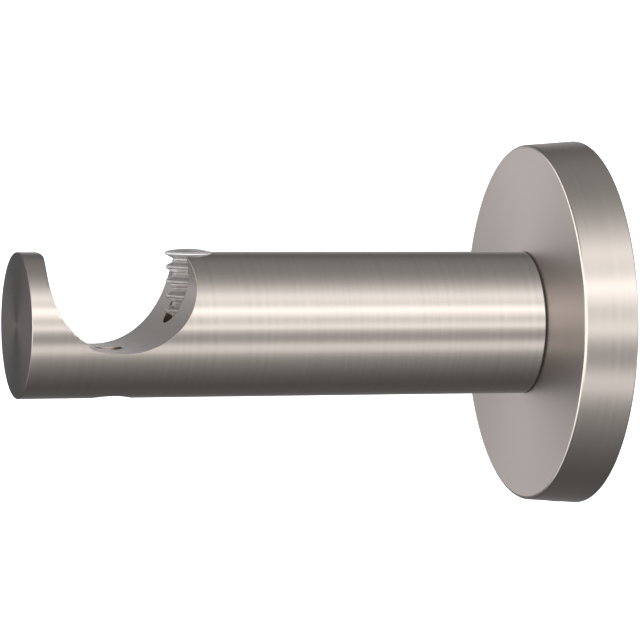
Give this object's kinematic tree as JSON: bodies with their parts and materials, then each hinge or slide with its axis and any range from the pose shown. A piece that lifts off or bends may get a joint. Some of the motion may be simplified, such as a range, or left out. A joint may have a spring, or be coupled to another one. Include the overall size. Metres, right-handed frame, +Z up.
{
  "type": "curtain pole bracket",
  "caption": "Round bar arm on a round wall rose, with an open scooped seat near its free end for a 20 mm curtain pole and a ribbed plastic plug that grips it.",
  "frame": {"origin": "middle of the rose's back on the wall plane, on the arm's axis", "axes": "+Y into the wall, so the arm points along -Y; +Z up; X along the pole"},
  "size_m": [0.0512, 0.0805, 0.0512],
  "materials": {
    "satin_nickel": "satin, brushed round the bar",
    "clear_plastic": "clear-grey moulded plastic",
    "zinc_plated_steel": "bright zinc plate",
    "stainless_grub": "plain stainless"
  },
  "bodies": {
    "root": {"support_arm": "satin_nickel", "wall_rose": "satin_nickel", "pole_plug": "clear_plastic", "arm_screw": "zinc_plated_steel", "wall_plate": "zinc_plated_steel", "rose_grub_screw": "stainless_grub"}
  },
  "joints": []
}
